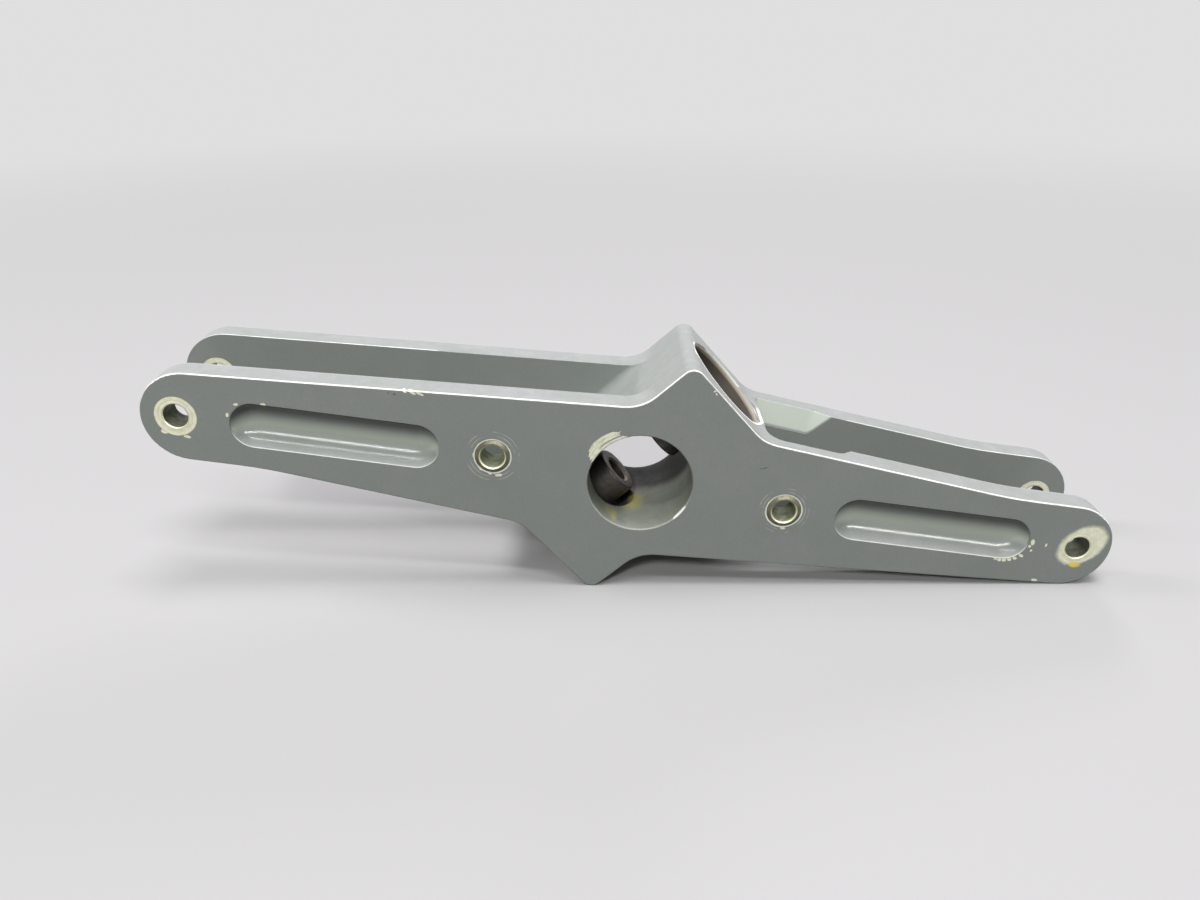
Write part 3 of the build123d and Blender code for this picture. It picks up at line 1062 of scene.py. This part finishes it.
@dataclass
class TeeterBearings:
    """The two bearings: shells and sleeves as imported, and rubber rings modelled here."""

    start: float = 21.9
    end: float = 33.6
    bore_radius: float = 8.55
    outer_radius: float = 15.1
    hollow: float = 1.3
    roundness: float = 0.7
    cuts: int = 7
    steps: int = 96
    smooth_angle: float = math.radians(50)
    shell: BearingMetal = BearingMetal(tint(150, 140, 126), tint(84, 74, 62), 0.7)
    sleeve: BearingMetal = BearingMetal(tint(92, 87, 79), tint(50, 47, 42), 0.45, ring_radius=5.3)
    rubber: Rubber = Rubber()

    def build(self) -> None:
        """Dresses the metal and models the two rings."""
        shell = self.shell.build("shell_metal")
        sleeve = self.sleeve.build("sleeve_steel")
        rubber = self.rubber.build("bearing_rubber")
        for name, side in (("upper", 1), ("lower", -1)):
            dress(f"teeter_shell_{name}", shell)
            dress(f"teeter_sleeve_{name}", sleeve)
            ring = self.ring(f"rubber_ring_{name}", side)
            ring.data.materials.append(rubber)
            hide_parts(f"teeter_elastomer_{name}")
            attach(ring, "hub")
            LOG.info("%s: %d faces", ring.name, len(ring.data.polygons))

    def ring(self, name: str, side: int) -> bpy.types.Object:
        """Models one rubber ring: a section with hollowed ends, spun about the bearing's axis.

        Args:
            name: the piece's name.
            side: 1 for the upper bearing, -1 for the lower.

        Returns:
            The finished ring.
        """
        ring = self.section(name)
        bpy.ops.mesh.select_all(action="SELECT")
        bpy.ops.mesh.spin(steps=self.steps, angle=2 * math.pi, center=(0, 0, 0), axis=(0, 1, 0))
        bpy.ops.mesh.select_all(action="SELECT")
        bpy.ops.mesh.remove_doubles(threshold=0.01 * MM)
        bpy.ops.mesh.normals_make_consistent(inside=False)
        bpy.ops.object.mode_set(mode="OBJECT")
        lean = Matrix.Rotation(TEETER_RISE - side * QUARTER_TURN, 4, "Y").inverted()
        ring.data.transform(lean @ Matrix.Rotation(QUARTER_TURN, 4, "X"))
        bpy.ops.object.shade_smooth_by_angle(angle=self.smooth_angle)
        return ring

    def section(self, name: str) -> bpy.types.Object:
        """Draws the outline of a ring's section, with both ends hollowed, and stays in edit mode.

        Args:
            name: the piece's name.

        Returns:
            The object with the outline.
        """
        half = (self.outer_radius - self.bore_radius) / 2
        centre = (self.outer_radius + self.bore_radius) / 2
        bpy.ops.object.select_all(action="DESELECT")
        bpy.ops.mesh.primitive_plane_add(size=1.0)
        ring = bpy.context.object
        ring.name = name
        bpy.ops.object.mode_set(mode="EDIT")
        bpy.ops.mesh.select_all(action="SELECT")
        bpy.ops.transform.resize(value=(2 * half * MM, (self.end - self.start) * MM, 1.0))
        bpy.ops.transform.translate(value=(centre * MM, (self.start + self.end) / 2 * MM, 0.0))
        bpy.ops.mesh.delete(type="ONLY_FACE")
        for end in (self.start, self.end):
            self.pick(ring, lambda radius, along, at=end: abs(along - at) < 0.01)
            bpy.ops.mesh.subdivide(number_cuts=self.cuts)
        for step in range(self.cuts // 2 + 1):
            far = step * 2 * half / (self.cuts + 1)
            dip = self.hollow * math.cos(far / half * QUARTER_TURN) ** self.roundness * MM
            for end, inward in ((self.start, 1), (self.end, -1)):
                self.pick(
                    ring,
                    lambda radius, along, at=end: abs(along - at) < 0.01 and abs(abs(radius - centre) - far) < 0.05,
                )
                bpy.ops.transform.translate(value=(0.0, inward * dip, 0.0))
        return ring

    def pick(self, ring: bpy.types.Object, test: Callable[[float, float], bool]) -> None:
        """Selects the vertices of the section that pass a test.

        Args:
            ring: the object in edit mode.
            test: takes a vertex's radius and its place along the axis, in millimetres.
        """
        bpy.ops.mesh.select_all(action="DESELECT")
        bpy.ops.object.mode_set(mode="OBJECT")
        for vertex in ring.data.vertices:
            vertex.select = test(vertex.co.x / MM, vertex.co.y / MM)
        bpy.ops.object.mode_set(mode="EDIT")
        bpy.ops.mesh.select_mode(type="VERT")


@dataclass
class Viewpoint:
    """The camera, where the photograph was taken from."""

    place_mm: tuple[float, float, float] = (-11.31, -304.14, 146.79)
    look_down: float = math.radians(25.60)
    look_left: float = math.radians(0.41)
    lens_mm: float = 28.485
    sensor_mm: float = 36.0
    nearest: float = 0.01
    photo_slope: float = math.radians(9.124)

    def build(self) -> None:
        """Adds the camera and makes it the scene's."""
        data = bpy.data.cameras.new("photo_view")
        data.lens = self.lens_mm
        data.sensor_width = self.sensor_mm
        data.clip_start = self.nearest
        camera = bpy.data.objects.new("photo_view", data)
        bpy.context.collection.objects.link(camera)
        level, down = self.look_left, self.look_down
        ahead = Vector((-math.sin(level) * math.cos(down), math.cos(level) * math.cos(down), -math.sin(down)))
        right = Vector((math.cos(level), math.sin(level), 0.0))
        above = right.cross(ahead)
        across, along = abs(Hole.OUTER_RIGHT.value[1]), Hole.OUTER_RIGHT.value[0]
        lean = Matrix.Rotation(SLOPE + math.atan2(across, along) - self.photo_slope, 3, "Y")
        axes = Matrix((right, above, -ahead)).transposed()
        place = lean @ Vector(self.place_mm) * MM
        camera.matrix_world = Matrix.Translation(place) @ (lean @ axes).to_4x4()
        bpy.context.scene.camera = camera
        LOG.info("%s: %.3f mm lens", camera.name, self.lens_mm)


@dataclass(frozen=True)
class Lamp:
    """A rectangular area lamp that points at the hub: place and size in metres, power in watts."""

    name: str
    place: tuple[float, float, float]
    size: tuple[float, float]
    power: float
    colour: tuple[float, float, float] = (1.0, 1.0, 1.0)
    glossy: bool = True
    diffuse: bool = True

    def build(self) -> None:
        """Hangs the lamp."""
        data = bpy.data.lights.new(self.name, "AREA")
        data.shape = "RECTANGLE"
        data.size, data.size_y = self.size
        data.energy = self.power
        data.color = self.colour
        lamp = bpy.data.objects.new(self.name, data)
        lamp.location = self.place
        lamp.rotation_euler = (-Vector(self.place)).to_track_quat("-Z", "Y").to_euler()
        lamp.visible_glossy = self.glossy
        lamp.visible_diffuse = self.diffuse
        bpy.context.collection.objects.link(lamp)
        LOG.info("%s: %g W", self.name, self.power)


@dataclass
class Studio:
    """A plain pale floor and soft light from above."""

    floor_size: float = 60.0
    floor_rough: float = 0.9
    floor_shown: Colour = (0.36, 0.36, 0.36, 1.0)
    floor_bounce: Colour = (0.07, 0.07, 0.07, 1.0)
    distance_shown: Colour = (0.74, 0.74, 0.74, 1.0)
    distance_from: float = 0.25
    distance_to: float = 1.3
    world_tint: Colour = (0.97, 0.98, 1.0, 1.0)
    world_strength: float = 0.075
    lamps: tuple[Lamp, ...] = (
        Lamp("key_front_left", (-0.45, -1.82, 1.44), (0.30, 0.30), 27.0, (1.0, 1.0, 0.985), glossy=False),
        Lamp("ceiling", (0.25, -0.15, 2.15), (0.9, 0.9), 51.0, (1.0, 0.97, 1.0), glossy=False),
        Lamp("fill_back", (0.5, 1.75, 1.0), (0.6, 0.6), 15.0, (1.0, 0.98, 1.0), glossy=False),
        Lamp("window_left", (-1.75, 0.28, 1.25), (0.3, 0.9), 16.0, (1.0, 0.97, 1.0), glossy=False),
        Lamp("strip_high", (-0.20, -0.95, 2.0), (2.4, 0.10), 22.0),
        Lamp("strip_low", (0.50, -1.80, 1.32), (2.8, 0.14), 66.0, (1.0, 1.0, 0.985), diffuse=False),
    )

    def build(self) -> None:
        """Adds the floor, the world and the lamps."""
        bpy.ops.object.select_all(action="DESELECT")
        bpy.ops.mesh.primitive_plane_add(size=self.floor_size, location=(0, 0, CAD_BOX[0][2]))
        floor = bpy.context.object
        floor.name = "floor"
        floor.data.materials.append(self.floor_material())
        self.room()
        for lamp in self.lamps:
            lamp.build()

    def seen(self, graph: Graph) -> Socket:
        """Returns the share of a ray that looks at a surface, by itself, in a gloss or through glass."""
        ray = graph.node("LightPath").outputs
        return graph.greatest([ray["Is Camera Ray"], ray["Is Glossy Ray"], ray["Is Transmission Ray"]])

    def floor_material(self) -> bpy.types.Material:
        """Builds the pale floor, which the camera sees paler than the hub is lit by it.

        Returns:
            The material.
        """
        material = bpy.data.materials.new("floor_pale")
        material.use_nodes = True
        nodes = material.node_tree.nodes
        graph = Graph(material.node_tree)
        seen = self.seen(graph)
        shader = nodes["Principled BSDF"]
        shader.inputs["Roughness"].default_value = self.floor_rough
        graph.feed(shader.inputs["Base Color"], graph.mix(seen, self.floor_bounce, self.floor_shown))
        far = graph.vector("LENGTH", graph.node("TexCoord").outputs["Object"])
        share = graph.times(seen, graph.fade(far, self.distance_from, self.distance_to))
        glow = graph.node("Emission", Color=self.distance_shown).outputs["Emission"]
        surface = graph.between(share, shader.outputs["BSDF"], glow)
        graph.feed(nodes["Material Output"].inputs["Surface"], surface)
        return material

    def room(self) -> None:
        """Adds the even light of the room, which the camera sees as pale as the floor."""
        world = bpy.data.worlds.new("soft_room")
        bpy.context.scene.world = world
        world.use_nodes = True
        nodes = world.node_tree.nodes
        graph = Graph(world.node_tree)
        even = nodes["Background"]
        even.inputs["Color"].default_value = self.world_tint
        even.inputs["Strength"].default_value = self.world_strength
        shown = graph.node("Background", Color=self.distance_shown).outputs[0]
        surface = graph.between(self.seen(graph), even.outputs[0], shown)
        graph.feed(nodes["World Output"].inputs["Surface"], surface)


def main() -> None:
    """Builds the scene in order."""
    logging.basicConfig(level=logging.INFO, format="%(message)s")
    bpy.context.scene.view_settings.view_transform = "Standard"
    Viewpoint().build()
    Studio().build()
    EffectBook().build()
    for part in (HubBody(), BoltBushes(), TeeterBearings()):
        part.build()
        LOG.info("%s done", type(part).__name__)


if __name__ == "__main__":
    main()
